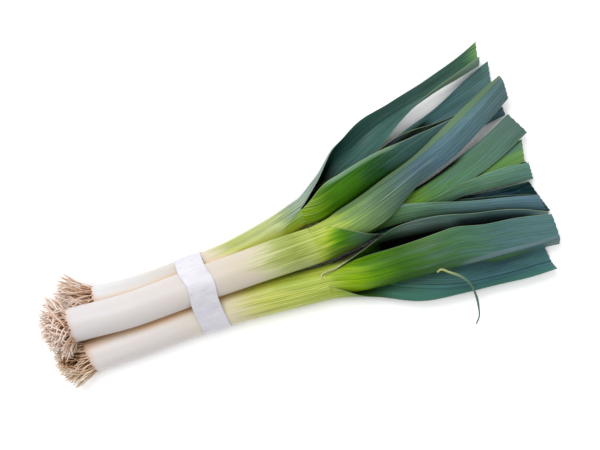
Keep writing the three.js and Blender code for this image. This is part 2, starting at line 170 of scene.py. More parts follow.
def material(name):
    """An empty principled material: its tree as a Wire, and its shader node."""
    made = bpy.data.materials.new(name)
    made.use_nodes = True
    shader = made.node_tree.nodes["Principled BSDF"]
    return made, Wire(made.node_tree), shader


def feed(wire, shader, key):
    """Links a wire to one of the shader's sockets."""
    wire.tree.links.new(wire.socket, shader.inputs[key])


def attribute(tree, name):
    """A value kept on the points of a mesh."""
    return tree.node("Attribute", {"attribute_name": name}, None, out=2)


def place_along(tree, axis=0):
    """How far along X (or Y, for axis 1) a point lies, in millimetres."""
    return tree.node("SeparateXYZ", None, {0: tree.node("TexCoord", out=3)}, out=axis) * (1 / MM)


def streaks(tree, across, along, seed, detail=2.0):
    """Noise drawn out along a leaf: about 0 to 1, over (across, along, seed)."""
    place = tree.node("CombineXYZ", None, {0: across, 1: along, 2: seed})
    return tree.node("TexNoise", None, {"Vector": place, "Scale": 1.0, "Detail": detail})


def leek_streaks(tree, arc, x, seed):
    """The streaks that a shaft and its leaves share: fine ones, broad ones and veins. They run on from one
    to the other, because both are laid over X and the distance round the leek."""
    fine = streaks(tree, arc * 1.1, x * 0.016, seed)
    broad = streaks(tree, arc * 0.16, x * 0.012, seed + 5)
    veins = streaks(tree, arc * 1.25, x * 0.004, seed + 17, 1.0)
    return fine, broad, veins


def grain(tree, arc, x, seed, fine, veins):
    """How much lighter or darker than its colour a green skin is: pale and dark veins, and cloudy patches."""
    cloud = streaks(tree, arc * 0.22, x * 0.03, seed + 11, 3.0)
    lines = veins.ramp(0.52, 0.66) * 0.34 - veins.ramp(0.48, 0.38) * 0.26
    return lines + (cloud - 0.5) * 0.7 + (fine - 0.5) * 0.5


def sides_of(name, points, quads, values, finish, caps=(), crease=None):
    """A mesh object from points in millimetres and its faces, with values kept on its points. Edges that
    turn by more than `crease` degrees stay sharp."""
    mesh = bpy.data.meshes.new(name)
    mesh.from_pydata((points * MM).tolist(), [], [*np.asarray(quads).tolist(), *caps])
    mesh.shade_smooth()
    if crease:
        mesh.set_sharp_from_angle(angle=math.radians(crease))
    for key, value in values.items():
        kept = mesh.attributes.new(key, "FLOAT", "POINT")
        kept.data.foreach_set("value", np.asarray(value, np.float32).ravel())
    made = bpy.data.objects.new(name, mesh)
    bpy.context.scene.collection.objects.link(made)
    mesh.materials.append(finish)
    return made


def ring_quads(rows, sides):
    """Quads that join every ring of points to the next one, closed round the ring."""
    ring = np.arange(sides)
    after = np.roll(ring, -1)
    quads = np.stack([ring, after, after + sides, ring + sides], axis=1)
    return (quads[None] + sides * np.arange(rows - 1)[:, None, None]).reshape(-1, 4)


def end_caps(rows, sides):
    """The first and the last ring as one face each, which face outwards."""
    return [list(range(sides))[::-1], list(range((rows - 1) * sides, rows * sides))]


def smooth(low, high, value):
    """0 below low, 1 above high, and the cubic 3t^2 - 2t^3 between."""
    t = np.clip((value - low) / (high - low), 0, 1)
    return t * t * (3 - 2 * t)


def through(keys, t):
    """Value between given keys: a Catmull-Rom cubic, whose slope at a key is half the difference of
    its two neighbours. t counts keys, and the ends run on straight."""
    keys = np.asarray(keys, float)
    last = len(keys) - 1
    i = np.clip(np.floor(t).astype(int), 0, last - 1)
    f = t - i
    p1, p2 = keys[i], keys[i + 1]
    p0 = np.where(i > 0, keys[np.maximum(i - 1, 0)], 2 * p1 - p2)
    p3 = np.where(i + 2 <= last, keys[np.minimum(i + 2, last)], 2 * p2 - p1)
    return p1 + 0.5 * f * (p2 - p0 + f * (2 * p0 - 5 * p1 + 4 * p2 - p3 + f * (3 * (p1 - p2) + p3 - p0)))


def along_line(line, t):
    """Points of a smooth line through `line`, at t from 0 to 1: a Catmull-Rom curve whose knots lie apart
    by the square root of the distance between its points."""
    p = np.asarray(line, float)
    p = np.vstack([2 * p[0] - p[1], p, 2 * p[-1] - p[-2]])
    place = np.asarray(t, float) * (len(line) - 1)
    i = np.clip(np.floor(place).astype(int), 0, len(line) - 2)
    f = (place - i)[:, None]
    p0, p1, p2, p3 = (p[i + k] for k in range(4))
    d0, d1, d2 = (np.sqrt(np.linalg.norm(b - a, axis=1))[:, None] for a, b in ((p0, p1), (p1, p2), (p2, p3)))
    slope1 = d1 * ((p1 - p0) / d0 - (p2 - p0) / (d0 + d1) + (p2 - p1) / d1)
    slope2 = d1 * ((p2 - p1) / d1 - (p3 - p1) / (d1 + d2) + (p3 - p2) / d2)
    cubic = f * (-3 * p1 + 3 * p2 - 2 * slope1 - slope2 + f * (2 * p1 - 2 * p2 + slope1 + slope2))
    return p1 + f * (slope1 + cubic)


def section_at(shaft, x):
    """The shaft's centre and radius where its centre line passes x."""
    t = np.linspace(0, 1, 2001)
    line = along_line(shaft["line"], t)
    at = np.interp(x, line[:, 0], t)
    y, z = (np.interp(x, line[:, 0], line[:, k]) for k in (1, 2))
    return y, z, through(shaft["radius"], at * (len(shaft["radius"]) - 1))


def shaft_points(leek, rows, sides):
    """Rings square to X round the centre line. The radius is the key radius, rounded in over the last few
    millimetres at the root end, with long shallow swellings, and stepping down into the split at the mouth.
    Returns points and three values: the distance round the ring from below, how far into the split a point
    is, and how close to another shaft."""
    shaft = SHAFTS[leek]
    t = np.linspace(0, 1, rows) ** 1.15
    centre = along_line(shaft["line"], t)
    x = centre[:, :1]
    radius = through(shaft["radius"], t * (len(shaft["radius"]) - 1))[:, None]
    angle = np.linspace(0, 2 * np.pi, sides, endpoint=False)[None] - np.pi / 2
    start, rounding, slant_run, swelling = shaft["line"][0][0], 5, 18, 0.12
    from_end = (x - start) / rounding
    radius = radius * (0.84 + 0.16 * np.sqrt(1 - np.clip(1 - from_end, 0, 1) ** 2))
    inside_mouth = smooth(MOUTH, MOUTH - 30, x)
    swell = np.sin(3 * angle + x / 31) * np.sin(x / 23 + 2 * angle)
    radius = radius + inside_mouth * (swelling * swell - swelling)
    rows_x, low, high = np.array(shaft["split"], float).T
    low, high = (np.interp(x, rows_x, side) for side in (low, high))
    edge = np.minimum(7, 0.4 * (high - low))
    turn = np.degrees(angle) + 90
    past = (turn - low) % 360
    split = smooth(0, edge, past) * smooth(high - low, high - low - edge, past)
    split = split * smooth(rows_x[0], rows_x[0] + 9, x)
    radius = radius - shaft["depth"] * split * smooth(rows_x[0], MOUTH, x)
    y = centre[:, 1:2] + radius * np.cos(angle)
    z = centre[:, 2:3] + radius * np.sin(angle)
    gaps = [np.hypot(y - cy, z - cz) - r
            for cy, cz, r in (section_at(other, x) for key, other in SHAFTS.items() if key != leek)]
    # How close to another shaft, reaching further near the root end: shaft_finish paints shade in that gap.
    nook = smooth(9 + 6 * smooth(-165, -195, x), 0.5, np.minimum(*gaps))
    around = shaft["radius"][-1] * (angle + np.pi / 2) + 0 * x
    near, far = shaft["slant"]
    cut = (near * (1 + np.cos(angle)) + far * (1 - np.cos(angle))) / 2
    x = x + cut * smooth(slant_run, 0, x - start)
    return np.stack([x, y, z], axis=-1), around, split, nook


def shaft_finish(leek, skin, turns, under, seed, pale=0.0):
    """White with a breath of pink at the roots, cream further up, then yellow-green with pale veins. `skin`
    gives the colours along X, which turn from cream to green between the two stops numbered in `turns`, and
    `under` is the next layer's colour inside the split. `pale` lightens the -Y side of the green. Where two
    shafts nearly touch, the skin is painted tan, and olive where they are green: painted shade, warm with
    the light that bounces between them."""
    made, tree, shader = material(leek + "_shaft_skin")
    x = place_along(tree)
    around, split, nook = (attribute(tree, key) for key in ("around", "split", "nook"))
    fine, broad, veins = leek_streaks(tree, around, x, seed)
    calm = x.ramp(MOUTH, MOUTH - 25)
    height = x + ((fine - 0.5) * 18 + (broad - 0.5) * 40) * calm
    green = height.ramp(*(skin[stop][0] for stop in turns))
    colour = height.colours(skin, -210, 30).mix(split * 0.95, tint(*under))
    colour = colour.mix(veins.ramp(0.52, 0.66) * green * 0.45, tint(216, 222, 170))
    colour = colour.scaled(1 + green * grain(tree, around, x, seed, fine, veins))
    colour = colour.mix((1 - green) * streaks(tree, around * 0.22, x * 0.008, 60.0).ramp(0.45, 0.7) * 0.3,
                        tint(228, 214, 203))
    quarter = math.pi / 2 * SHAFTS[leek]["radius"][-1]
    side = around.ramp(2.1 * quarter, 3 * quarter) * x.ramp(MOUTH, MOUTH - 9)
    colour = colour.mix(side * green * pale, tint(212, 222, 168))
    # Painted shade in the gap between two shafts: tan on the white and cream, olive on the green.
    nook_shade = nook * (streaks(tree, around * 0.4, x * 0.02, 71.0).ramp(0.25, 0.6) * 0.4 + 0.6)
    colour = colour.mix(nook_shade * (1 - green) * (x.ramp(-140, -185) * 0.16 + 0.8), tint(246, 196, 124))
    colour = colour.mix(nook_shade * green * 0.75, tint(190, 192, 50))
    root_end = SHAFTS[leek]["line"][0][0]
    colour = colour.mix(x.ramp(root_end + 6, root_end - 3) * (fine * 0.6 + 0.4), tint(232, 196, 172))
    feed(colour, shader, "Base Color")
    feed(fine * 0.16 + 0.36, shader, "Roughness")
    relief = veins * 0.5 + fine
    feed(tree.node("Bump", None, {"Height": relief, "Distance": 0.00012, "Strength": 0.5}), shader, "Normal")
    shader.inputs["Specular IOR Level"].default_value = 0.25
    shader.inputs["Subsurface Weight"].default_value = 0.12
    shader.inputs["Subsurface Radius"].default_value = (0.004, 0.003, 0.0015)
    return made


SHAFT_SKINS = {
    "middle": shaft_finish("middle", [
        (-200, (228, 224, 226)), (-90, (225, 217, 212)), (-36, (221, 211, 188)),
        (-20, (206, 206, 154)), (-10, (168, 180, 94)), (4, (150, 167, 66)), (20, (178, 193, 92))],
        (2, 3), (150, 178, 60), 4.0, pale=0.6),
    "back": shaft_finish("back", [
        (-176, (233, 235, 238)), (-110, (220, 216, 211)), (-68, (230, 221, 196)),
        (-46, (188, 198, 104)), (-20, (180, 192, 118)), (-4, (182, 195, 128)),
        (4, (142, 162, 110)), (12, (124, 148, 122)), (20, (130, 151, 136))], (2, 3),
        (124, 160, 44), 1.0),
    "front": shaft_finish("front", [
        (-195, (237, 231, 231)), (-110, (232, 225, 219)), (-72, (234, 225, 196)),
        (-46, (208, 208, 122)), (-34, (200, 206, 98)), (-10, (186, 197, 86)), (20, (174, 192, 72))],
        (2, 3), (174, 192, 72), 10.0),
}

for leek in SHAFTS:
    points, around, split, nook = shaft_points(leek, 190, 160)
    rows, sides = points.shape[:2]
    piece = sides_of(leek + "_shaft_skin", points.reshape(-1, 3), ring_quads(rows, sides),
                     {"around": around, "split": split, "nook": nook}, SHAFT_SKINS[leek],
                     end_caps(rows, sides), crease=50)
    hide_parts(leek + "_shaft")
    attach(piece, "root")

# --------------------------------------
# The root tufts. Under each shaft is a small hard plate, from which some hundreds of pale rootlets
# grow, dried to a stiff curly mop. The middle tuft fans out widest, and the other two lift a little
# off the table.
# --------------------------------------
GAP = 0.35
GOLDEN_ANGLE = 2.39996
# "fan" is how far the rim's rootlets lean out, in radians, and "drift" how far the tips move to +Y and up.
TUFTS = {
    "middle": {"count": 340, "seed": 41, "fan": 1.05, "drift": (1, -3)},
    "back": {"count": 330, "seed": 42, "fan": 0.6, "drift": (2, 4)},
    "front": {"count": 400, "seed": 43, "fan": 0.34, "drift": (3, 6)},
}


def kept_clear(points, own, clearance):
    """Moves points that lie past the plane between two tufts back to it. Each plane stands where points are
    equally far outside both shafts, and the table is one more."""
    x, y, z = np.moveaxis(points, -1, 0)
    own_y, own_z = SHAFTS[own]["line"][0][1:]
    own_radius = SHAFTS[own]["radius"][0]
    for other, shaft in SHAFTS.items():
        if other != own:
            to = np.array(shaft["line"][0][1:]) - (own_y, own_z)
            distance = np.hypot(*to)
            to /= distance
            share = (distance ** 2 + own_radius ** 2 - shaft["radius"][0] ** 2) / (2 * distance)
            excess = np.maximum((y - own_y) * to[0] + (z - own_z) * to[1] - share + clearance, 0)
            y, z = y - excess * to[0], z - excess * to[1]
    return np.stack([x, y, np.maximum(z, clearance)], axis=-1)


def rootlets(leek, count, seed, fan, drift, rows=15, sides=6):
    """Every rootlet is a blunt thread carried along a curling path. It starts on the plate at a sunflower
    spiral's points, leans out by more the nearer it is to the plate's rim, and turns, curls and drifts
    aside as it goes."""
    draw = np.random.default_rng(seed)
    shaft = SHAFTS[leek]
    x, y, z = shaft["line"][0]
    radius = shaft["radius"][0]
    order = np.arange(count)[:, None]
    spread = np.sqrt((order + 0.5) / count)
    angle = order * GOLDEN_ANGLE + 0.5 * draw.random((count, 1))
    lean = 0.08 + fan * spread ** 2 + 0.34 * (draw.random((count, 1)) - 0.5)
    bend = 1.5 * (draw.random((count, 1)) - 0.5)
    length = shaft["roots"] * (0.66 + 0.30 * draw.random((count, 1)) ** 0.7) * (1 - 0.14 * spread)
    along = np.linspace(0, 1, rows)[None]
    turned = angle + bend * along ** 2
    out = radius * 0.93 * spread + length * np.sin(lean) * along * (0.75 + 0.25 * along)
    back = 4.6 * (1 - spread ** 3) - 1.4 + length * np.cos(lean) * along
    curl = 1.05 * along ** 0.7 * (draw.random((count, 1)) + 0.3)
    phase, waves = 6.3 * draw.random((count, 1)), 2.4 + 2.6 * draw.random((count, 1))
    sway = curl * np.sin(phase + waves * 3.1 * along)
    lift = curl * np.cos(1.7 * phase + waves * 2.7 * along)
    path = np.stack([x - GAP - back + 0.6 * lift,
                     y + out * np.cos(turned) - sway * np.sin(turned) * 1.3 + drift[0] * along ** 2,
                     z + out * np.sin(turned) + sway * np.cos(turned) * 1.3 + drift[1] * along ** 2 + lift],
                    axis=-1)
    path[:, 1:] = kept_clear(path[:, 1:], leek, 0.7)
    low, high = (np.array(corner) / MM for corner in cad_box)
    path[:, 1:] = np.clip(path[:, 1:], low + 0.9, high - 0.9)
    step = np.gradient(path, axis=1)
    step /= np.linalg.norm(step, axis=-1, keepdims=True)
    side = np.cross(step, (0.0, 0.6, 0.8))
    side /= np.linalg.norm(side, axis=-1, keepdims=True)
    over = np.cross(step, side)
    thick = (0.46 + 0.26 * draw.random((count, 1))) * (1 - 0.25 * along ** 2)
    thick[:, -1] *= 0.45
    turn = np.linspace(0, 2 * np.pi, sides, endpoint=False)
    ring = side[:, :, None] * np.cos(turn)[:, None] + over[:, :, None] * np.sin(turn)[:, None]
    points = path[:, :, None] + thick[:, :, None, None] * ring
    quads = ring_quads(rows, sides)[None] + (rows * sides * np.arange(count))[:, None, None]
    tips = [[start + k for k in range(sides)]
            for start in rows * sides * np.arange(count) + (rows - 1) * sides]
    tone = np.broadcast_to(0.15 + 0.85 * draw.random((count, 1, 1)), points.shape[:3])
    reach = np.broadcast_to(along[:, :, None], points.shape[:3])
    return points.reshape(-1, 3), quads.reshape(-1, 4), tips, tone, reach


def speckle(tree, scale, detail):
    """Fine even noise, 0 to 1."""
    place = tree.node("TexCoord", out=3)
    return tree.node("TexNoise", None, {"Scale": scale, "Detail": detail, "Vector": place})


def root_finish(leek, stops, shaded_hollow=None):
    """Dry rootlets: dark brown at the plate, tan near it, and cream or a little pink further out. The dark
    brown near the plate is partly their own colour and partly painted shade deep in the mop. Round a given
    point (x, y), where the mop is thin, they are painted as dark as the plate: painted shade in that spot."""
    made, tree, shader = material(leek + "_rootlet_skin")
    tone, reach = (attribute(tree, key) for key in ("tone", "reach"))
    spots = speckle(tree, 420.0, 2.0)
    # The reach term darkens rootlets towards the plate: partly their browner colour, partly painted shade in
    # the mop.
    place = reach * 0.45 + tone * 0.62 + (spots - 0.5) * 0.35
    if shaded_hollow:
        along, aside = (place_along(tree, axis) - shaded_hollow[axis] for axis in (0, 1))
        place = place - (along * along * 0.5 + aside * aside).ramp(75, 5) * 0.42
    feed(place.colours(stops), shader, "Base Color")
    feed(tree.node("Bump", None, {"Height": spots, "Distance": 0.0001, "Strength": 0.6}), shader, "Normal")
    shader.inputs["Roughness"].default_value = 0.75
    shader.inputs["Specular IOR Level"].default_value = 0.2
    return made


ROSY = [(0.0, (56, 30, 14)), (0.14, (136, 92, 60)), (0.30, (202, 158, 124)),
        (0.50, (240, 208, 184)), (0.74, (252, 232, 218)), (1.0, (255, 246, 238))]
STRAW = [(0.0, (52, 27, 12)), (0.16, (128, 84, 52)), (0.32, (204, 160, 120)),
         (0.52, (243, 212, 180)), (0.76, (253, 234, 213)), (1.0, (255, 247, 234))]
ROOT_SKINS = {
    "middle": root_finish("middle", ROSY),
    "back": root_finish("back", ROSY),
    "front": root_finish("front", STRAW, (-211, -21)),
}
for leek, tuft in TUFTS.items():
    points, quads, tips, tone, reach = rootlets(leek, **tuft)
    piece = sides_of(leek + "_rootlets", points, quads, {"tone": tone, "reach": reach}, ROOT_SKINS[leek],
                     tips)
    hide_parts(leek + "_roots")
    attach(piece, "root")

    # The plate under the rootlets: a dark dome, rough where old roots have broken away. Its darkest brown is
    # partly the plate's own colour and partly painted shade in the heart of the mop.
    x, y, z = SHAFTS[leek]["line"][0]
    rings, sides, length = 16, 48, 11.0
    dome = np.linspace(0, 1, rings)[:, None]
    turn = np.linspace(0, 2 * np.pi, sides, endpoint=False)[None]
    rough = 0.35 * np.sin(9 * turn + 5 * dome) + 0.3 * np.sin(17 * turn - 11 * dome)
    radius = SHAFTS[leek]["radius"][0] * 0.78 * np.sqrt(1 - 0.97 * dome ** 2) + rough * (dome > 0)
    plate = np.stack([x + 0.4 - length * dome + 0 * turn, y + radius * np.cos(turn),
                      z - radius * np.sin(turn)], axis=-1)
    dark = np.zeros(rings * sides)
    piece = sides_of(leek + "_root_plate", plate.reshape(-1, 3), ring_quads(rings, sides),
                     {"tone": dark, "reach": dark}, ROOT_SKINS[leek], end_caps(rings, sides))
    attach(piece, "root")

# --------------------------------------
# The back leek's leaves: an open channel, a flat inner leaf and a folded leaf over it. Every leaf is
# one blade with a keel, growing from a sheath that nests in the mouth, and ends at a knife cut.
# --------------------------------------
LAYER = 2.0     # from one sheath in the mouth to the next one in
STEP = 35.0     # between the places along X where a leaf's section is given


def sheath(leek, layer, keel, left, right):
    """A leaf's first two sections, one step inside the shaft and at its mouth: an arc round the shaft's
    centre, `layer` sheaths in, with its keel at an angle from below and its halves wrapping `left` and
    `right` degrees. The inside one only gives the leaf its direction. `around` holds where the keel lies
    on the shaft's own measure round it, and how that measure compares with the leaf's width."""
    shaft = SHAFTS[leek]
    radius = shaft["radius"][-1] - 0.6 - layer * LAYER
    at = math.radians(keel)
    sections = [section_at(shaft, MOUTH - STEP)[:2], shaft["line"][-1][1:]]
    return {"y": [y + radius * math.sin(at) for y, _ in sections],
            "z": [z - radius * math.cos(at) for _, z in sections],
            "lw": 2 * [radius * math.radians(left)], "ls": 2 * [keel], "le": 2 * [keel + left],
            "rw": 2 * [radius * math.radians(right)], "rs": 2 * [-keel], "re": 2 * [right - keel],
            "around": (shaft["radius"][-1] * (at % (2 * math.pi)), shaft["radius"][-1] / radius)}


def half_arc(width, start, end, share):
    """One half of a section: a circular arc from the keel, which starts at angle `start` and ends at `end`.
    Returns how far out and up its point lies, and its angle there."""
    turn = np.radians(end - start)
    turn = np.where(np.abs(turn) < 1e-3, 1e-3, turn)
    first = np.radians(start)
    angle = first + turn * share
    radius = width / turn
    return radius * (np.sin(angle) - np.sin(first)), radius * (np.cos(first) - np.cos(angle)), angle


def blade_points(keys, x, share, kinks=()):
    """Points of a leaf's middle surface over x and share (-1 right margin, 0 keel, 1 left margin), the
    direction that faces into its channel, and the distance from the keel. Each kink (key, at, reach, more)
    adds more exp(-((x - at) / reach)^2) to one of the keys."""
    s = {key: through(value, (x - MOUTH) / STEP + 1) for key, value in keys.items()}
    for key, at, reach, more in kinks:
        s[key] = s[key] + more * np.exp(-((x - at) / reach) ** 2)
    left_share, right_share = np.maximum(share, 0), np.maximum(-share, 0)
    left_out, left_up, left_angle = half_arc(s["lw"], s["ls"], s["le"], left_share)
    right_out, right_up, right_angle = half_arc(s["rw"], s["rs"], s["re"], right_share)
    point = np.stack([x + 0 * share, s["y"] + left_out - right_out, s["z"] + left_up + right_up], axis=-1)
    into_left = np.stack([0 * left_angle, -np.sin(left_angle), np.cos(left_angle)], axis=-1)
    into_right = np.stack([0 * right_angle, np.sin(right_angle), np.cos(right_angle)], axis=-1)
    # The keel is rounded over a few hundredths of the width, so its two directions blend.
    blend = smooth(-0.05, 0.05, share)[..., None]
    inward = into_left * blend + into_right * (1 - blend)
    inward /= np.linalg.norm(inward, axis=-1, keepdims=True)
    return point, inward, left_share * s["lw"] - right_share * s["rw"]


def blade(name, cut, base, keys, finish, seed, dip=0.9, kinks=(), fold=None):
    """A leaf as one closed blade. Its middle surface is `blade_points`, its skins lie half a thickness to
    each side, round at the margins, and it carries long ripples, a waved margin and ribs along its veins.
    At the mouth its margins thin out and dip by `dip` on to the layer below. Past x = `fold` its veins run
    along its right margin, not along its keel."""
    rows, half, ripple, rib_spacing, rounded = 150, 36, 0.22, 3.1, 0.045
    at_keel, to_shaft = base["around"]
    keys = {key: [*base[key], *values] for key, values in keys.items()}
    even = np.linspace(-1, 1, 2 * half + 1)
    share = (np.sin(even * np.pi / 2) * 0.35 + even * 0.65)[None]
    end, _, _ = blade_points(keys, np.full_like(share, cut[0]), share)
    draw = np.random.default_rng(seed)
    phase = draw.random(6) * 2 * np.pi
    ragged = np.abs(np.sin(13 * share + phase[0])) + 0.7 * np.abs(np.sin(31 * share + phase[1]))
    end_x = cut[0] + cut[1] * (end[..., 1] - end[:, half:half + 1, 1]) - 0.5 * ragged
    row = np.linspace(0, 1, rows)[:, None]
    x = MOUTH + (end_x - MOUTH) * row ** 1.2
    share = share + 0 * x
    middle, inward, arc = blade_points(keys, x, share, kinks)
    away = smooth(MOUTH + 4, MOUTH + 45, x)
    wave = ripple * np.sin(x / 19 + phase[0] + 2.1 * share) * np.sin(share * 4.2 + phase[1])
    wave += 0.5 * ripple * np.sin(x / 7.5 + phase[2]) * np.sin(share * 7 + phase[3] + x / 30)
    wave += 1.3 * ripple * np.abs(share) ** 5 * np.sin(x / 11 + phase[4] + share)
    rib = 0.05 * np.cos(2 * np.pi * arc / rib_spacing + phase[5])
    near = smooth(MOUTH + 30, MOUTH, x)
    margin = smooth(0.72, 1, np.abs(share))
    middle = middle + inward * (away * wave + dip * near * margin)[..., None]
    thick = (1.2 - 0.45 * away) * (1 - np.abs(share)) + (0.8 - 0.3 * away) * np.abs(share)
    thick = thick * (1 - 0.8 * near * margin)
    past = np.abs(share) - (1 - rounded)
    round_margin = np.sqrt(np.clip(1 - (past / rounded) ** 2, 0, 1))
    half_thick = 0.5 * thick * np.where(past > 0, np.maximum(round_margin, 0.12), 1)
    inner = middle + inward * (half_thick + away * rib * 0.6)[..., None]
    outer = middle - inward * (half_thick + away * rib)[..., None]
    ring = np.concatenate([inner[:, ::-1], outer], axis=1)
    count = 2 * half + 1
    face = np.concatenate([np.ones((rows, count)), np.zeros((rows, count))], axis=1)
    if fold:
        widths = (through(keys["rw"], (place - MOUTH) / STEP + 1) for place in (np.maximum(x, fold), fold))
        arc = arc + np.subtract(*widths)
    arc = at_keel + to_shaft * arc
    values = {"face": face, "share": np.concatenate([share[:, ::-1], share], axis=1),
              "arc": np.concatenate([arc[:, ::-1], arc], axis=1)}
    sides = 2 * count
    i = np.arange(count - 1)
    strip = np.stack([i, sides - 1 - i, sides - 2 - i, i + 1], axis=1)
    quads = np.concatenate([ring_quads(rows, sides), strip, strip[:, ::-1] + (rows - 1) * sides])
    piece = sides_of(name + "_blade", ring.reshape(-1, 3), quads, values, finish, crease=70)
    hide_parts(name)
    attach(piece, "root")


def leaf_finish(name, outer, inner, seed, slant=0.0, stripes=(), edge=0.4, bloom=0.25):
    """A leaf blade's skin. `outer` and `inner` give its two faces' colours at places along X. Veins run
    along the blade, a waxy bloom lies on it in patches, and its thin margins are pale by `edge`. `slant`
    moves the colours along X from one margin to the other. A stripe is (colour, centre, half width, from,
    to, strength, face) in shares and millimetres."""
    made, tree, shader = material(name + "_skin")
    x = place_along(tree)
    share, arc, face = (attribute(tree, key) for key in ("share", "arc", "face"))
    fine, broad, veins = leek_streaks(tree, arc, x, seed)
    calm = x.ramp(MOUTH, MOUTH + 12)
    height = x + ((fine - 0.5) * 20 + (broad - 0.5) * 34 + share * slant) * calm
    colour = height.colours(outer, 10, 240).mix(face, height.colours(inner, 10, 240))
    grown = x.ramp(60, 120)
    waxy = streaks(tree, arc * 0.22, x * 0.03, seed + 23, 3.0)
    colour = colour.mix(waxy.ramp(0.45, 0.7) * grown * bloom, tint(104, 128, 152))
    fresh = streaks(tree, arc * 0.3, x * 0.05, seed + 31, 3.0)
    colour = colour.mix(fresh.ramp(0.5, 0.66) * grown * bloom, tint(74, 112, 70))
    young = x.ramp(MOUTH + 24, MOUTH - 6)
    colour = colour.mix(veins.ramp(0.52, 0.66) * young * 0.45, tint(216, 222, 170))
    threads = streaks(tree, arc * 3.4, x * 0.09, seed + 37)
    lines = grain(tree, arc, x, seed, fine, veins) * (1 - grown * 0.3)
    colour = colour.scaled(1 + lines + (threads - 0.5) * calm * 0.6)
    colour = colour.scaled(1 - (1 - grown) * calm * (broad - 0.5) * 0.6)
    for stripe, centre, width, start, stop, strength, side in stripes:
        band = abs(share - centre).ramp(width, width * 0.45)
        reach_x = x.ramp(start, start + 14) * x.ramp(stop, stop - 14)
        on_face = face if side else 1 - face
        colour = colour.mix(band * reach_x * on_face * strength, tint(*stripe))
    colour = colour.mix(abs(share).ramp(0.968, 0.99) * edge, tint(168, 188, 146))
    feed(colour, shader, "Base Color")
    feed(fine * 0.18 + 0.36, shader, "Roughness")
    relief = veins + fine * 0.6
    feed(tree.node("Bump", None, {"Height": relief, "Distance": 0.00016, "Strength": 0.7}), shader, "Normal")
    shader.inputs["Specular IOR Level"].default_value = 0.14
    return made


# SHADE and DEEP_SHADE are painted shade, near black and dark teal, for faces down in folds and channels where
# little light falls; the dark colours on the leaves' inner faces are painted shade too.
LIME, FRESH, GREEN = (134, 168, 26), (82, 124, 18), (62, 104, 36)
TEAL, DEEP_SHADE, SHADE = (54, 92, 88), (34, 62, 52), (10, 24, 16)
MIST, SLATE = (84, 118, 122), (74, 104, 114)

# Its inner face is painted near black from the mouth to about X 50, with a dark line along its keel: painted
# shade inside its channel.
blade("back_leaf_outer", (210, 0.2), sheath("back", 0, 30, 130, 72), {
    "y": [56, 73.5, 84.5, 90.5, 96, 104],
    "z": [5, 6, 8, 8, 9, 10],
    "lw": [24, 22, 20, 19, 19, 22], "ls": [15, 40, 50, 40, 15, 0], "le": [120, 70, 72, 70, 50, 30],
    "rw": [16, 20, 18, 18, 18, 13], "rs": [-5, 0, 40, 60, 70, 80], "re": [20, 8, 65, 115, 140, 150],
}, leaf_finish("back_leaf_outer", [
    (20, (134, 154, 140)), (36, (128, 150, 140)), (64, (112, 138, 134)), (100, MIST), (220, TEAL)],
    [(20, SHADE), (46, (14, 36, 30)), (62, (50, 88, 80)), (78, (62, 104, 96)), (104, (76, 116, 108)),
     (128, (88, 126, 118)), (148, (106, 142, 134)), (170, (104, 142, 130)), (200, (90, 132, 108)),
     (214, (128, 176, 104))],
    1.0, bloom=0.12, stripes=[((120, 154, 146), -0.5, 0.5, 130, 230, 0.5, 1),
                              ((140, 168, 140), -0.7, 0.6, 146, 232, 0.7, 0),
                              (SHADE, 0.0, 0.04, 70, 230, 0.4, 1)]),
    101, dip=0.2, kinks=(("y", 63, 9, 2.4), ("y", 44, 8, -1.4)))

# Its inner face is painted near black from the mouth, and a near-black stripe lies on it from X 76 to 158:
# painted shadow of the folded leaf's margin.
blade("back_leaf_inner", (216, 0.2), sheath("back", 1, 60, 55, 55), {
    "y": [45, 48, 56.5, 66.5, 75, 87],
    "z": [10, 9.8, 7, 4.5, 3.5, 3.5],
    "lw": [6, 6.5, 9.5, 10, 16, 17], "ls": [20, 10, 10, 10, 5, 5], "le": [50, 20, 20, 25, 12, 10],
    "rw": [9, 9, 14, 15, 16, 16], "rs": [-10, 5, 5, 5, 5, 5], "re": [10, 10, 15, 12, 10, 10],
}, leaf_finish("back_leaf_inner", [(20, LIME), (60, GREEN), (120, TEAL), (220, SLATE)], [
    (20, SHADE), (60, (10, 26, 20)), (96, (48, 84, 56)), (130, (64, 104, 92)),
    (165, (76, 114, 116)), (220, (94, 130, 126))],
    1.0, edge=0.0, stripes=[((3, 12, 4), 0.1, 0.75, 76, 158, 0.95, 1)]),
    102)

# Its inner face is painted near black, the shade inside the fold, and the dark green stripe beside its keel
# on the outer face is painted shade where the top leaf lies over it.
blade("back_leaf_folded", (217.5, -0.1), sheath("back", 0.3, -75, 29, 121), {
    "y": [19, 27.5, 35, 43, 47.5, 51],
    "z": [15, 14, 12, 9.5, 8, 7],
    "lw": [18, 28, 30, 21, 19, 18], "ls": [-20, -10, 0, 0, 0, 0], "le": [20, 30, 15, 8, 5, 5],
    "rw": [37, 36, 28, 21, 19, 18], "rs": [106, 118, 130, 140, 145, 148],
    "re": [188, 172, 170, 165, 165, 165],
}, leaf_finish("back_leaf_folded", [
    (18, (122, 156, 22)), (34, (100, 140, 28)), (50, (66, 114, 24)), (72, (54, 100, 26)),
    (98, (44, 86, 44)), (124, (60, 94, 84)), (160, MIST), (220, SLATE)],
    [(20, GREEN), (60, SHADE), (120, (6, 16, 8)), (220, (30, 56, 50))],
    1.0, stripes=[((124, 160, 128), -0.99, 0.11, 42, 122, 0.8, 0),
                  ((84, 146, 20), -0.62, 0.22, 44, 86, 0.3, 0),
                  ((24, 44, 8), -0.18, 0.2, 20, 150, 0.6, 0)]),
    103, kinks=(("rw", 39, 16, 6.5), ("y", 33, 15, -1.8)))
